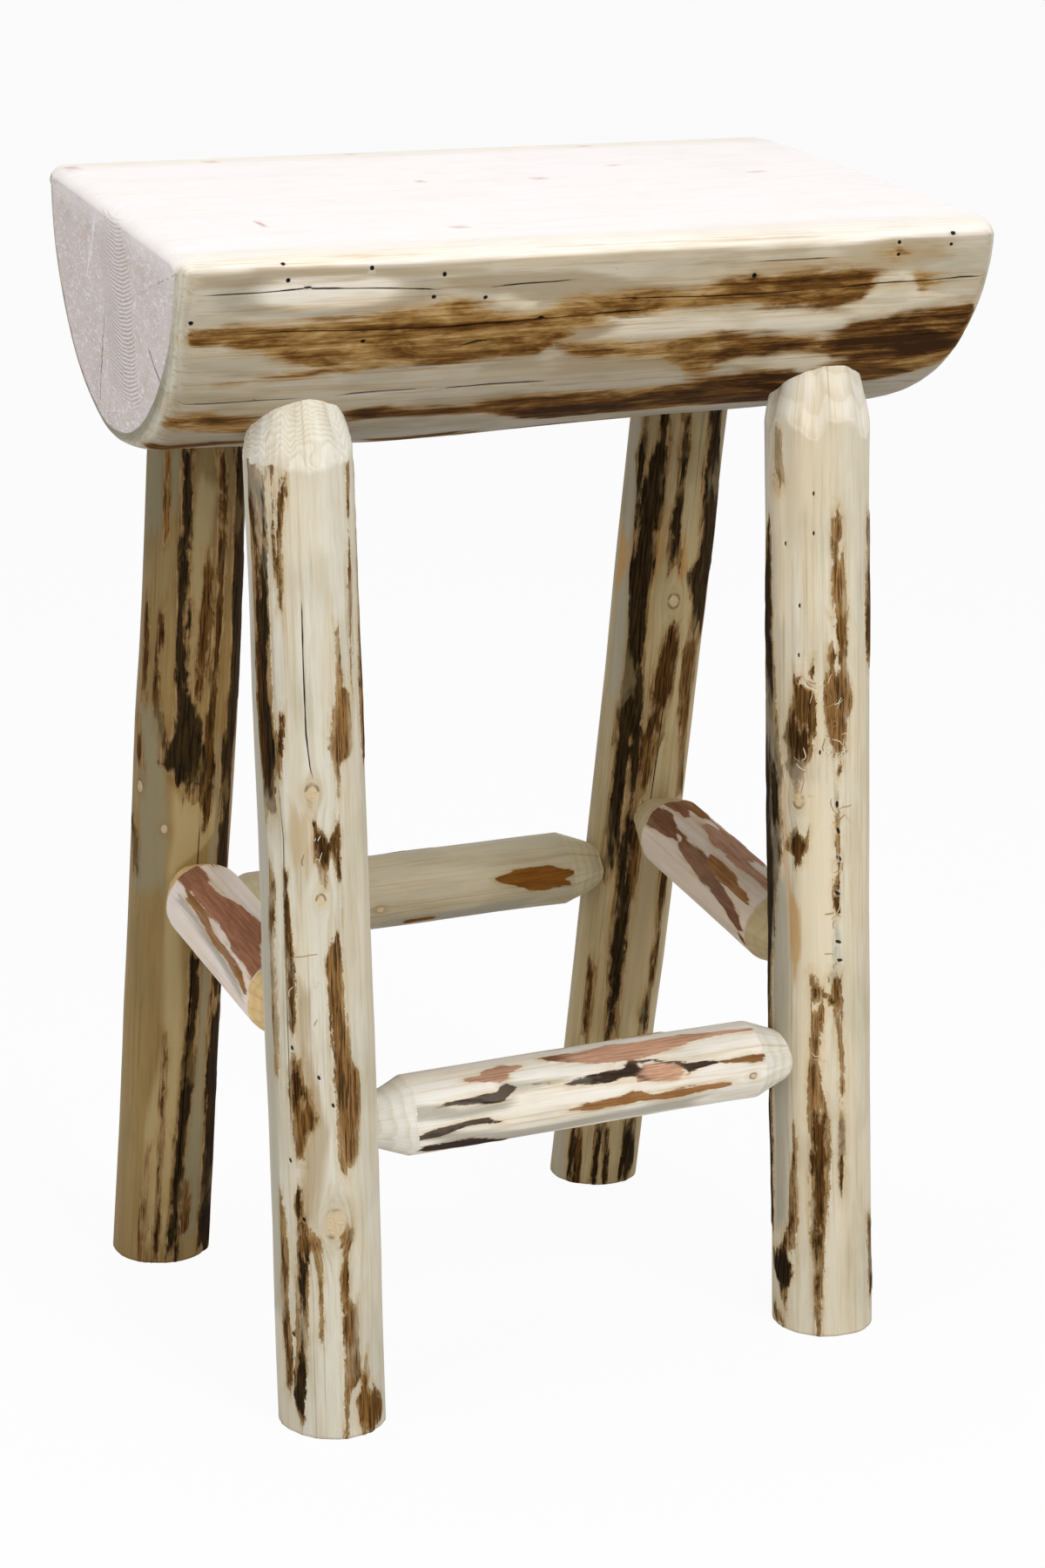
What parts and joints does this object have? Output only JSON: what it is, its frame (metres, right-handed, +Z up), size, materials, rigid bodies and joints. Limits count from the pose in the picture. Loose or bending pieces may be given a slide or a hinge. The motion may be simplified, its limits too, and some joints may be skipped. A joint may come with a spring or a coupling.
{
  "type": "half log bar stool",
  "caption": "Rustic bar stool with a half log seat on splayed peeled log legs, braced by round log stretchers with shaved tenons.",
  "frame": {"origin": "centre of the footprint, on the floor", "axes": "+Z up, +X along the seat log towards its right end, -Y towards the front"},
  "size_m": [0.5544, 0.379, 0.762],
  "materials": {
    "seat_wood": "half log of pale softwood, hand peeled, with brown strips of inner bark left on, sanded flat on top",
    "leg_wood": "hand peeled round log, pale sapwood with dark brown strips of inner bark, shaved tenon ends, clear matt",
    "stretcher_wood": "hand peeled round log, pinkish sapwood with reddish brown patches, shaved ends, clear matt"
  },
  "bodies": {
    "root": {"seat_half_log": "seat_wood", "leg_front_left": "leg_wood", "leg_front_right": "leg_wood", "leg_back_left": "leg_wood", "leg_back_right": "leg_wood", "stretcher_front": "stretcher_wood", "stretcher_back": "stretcher_wood", "stretcher_left": "stretcher_wood", "stretcher_right": "stretcher_wood"}
  },
  "joints": []
}
